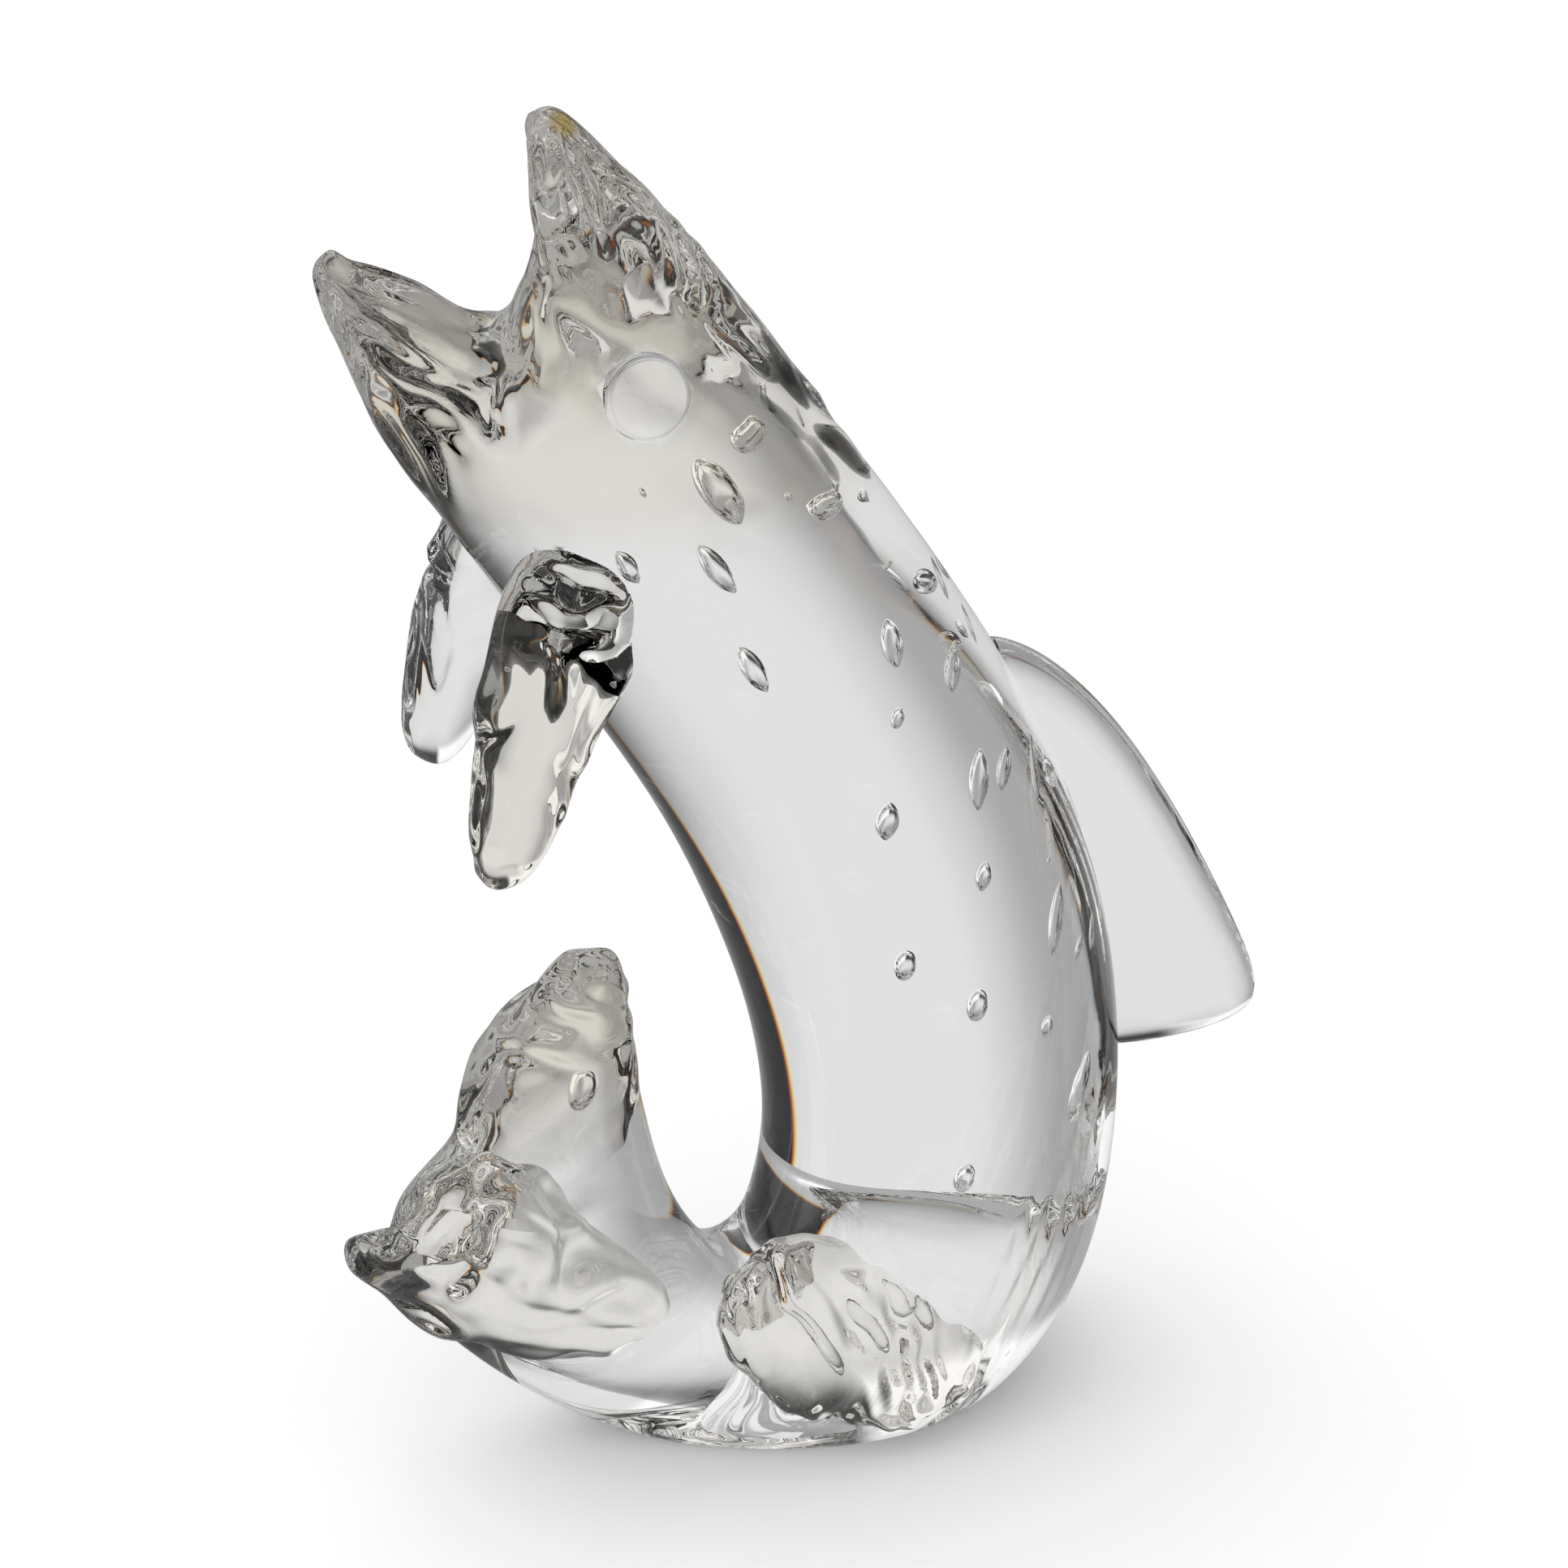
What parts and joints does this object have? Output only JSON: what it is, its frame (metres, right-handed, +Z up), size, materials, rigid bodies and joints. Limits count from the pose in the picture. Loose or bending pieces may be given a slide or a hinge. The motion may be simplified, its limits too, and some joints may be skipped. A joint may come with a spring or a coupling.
{
  "type": "glass trout sculpture",
  "caption": "Solid clear glass sculpture of a leaping trout, its body curled into a C, with open jaws, dorsal fin, side fins and a forked tail, standing on a ground flat.",
  "frame": {"origin": "in the ground flat that the trout stands on, under the seat of the curl", "axes": "+Z up; the XZ plane is the plane of the curl, with the open mouth towards -X and the dorsal fin towards +X; -Y is the near flank"},
  "size_m": [0.1434, 0.0526, 0.2106],
  "materials": {
    "clear_glass": "solid clear crystal glass, fire-polished outside, with scattered air bubbles inside and a fine ground flat underneath"
  },
  "bodies": {
    "root": {"glass_trout": "clear_glass"}
  },
  "joints": []
}
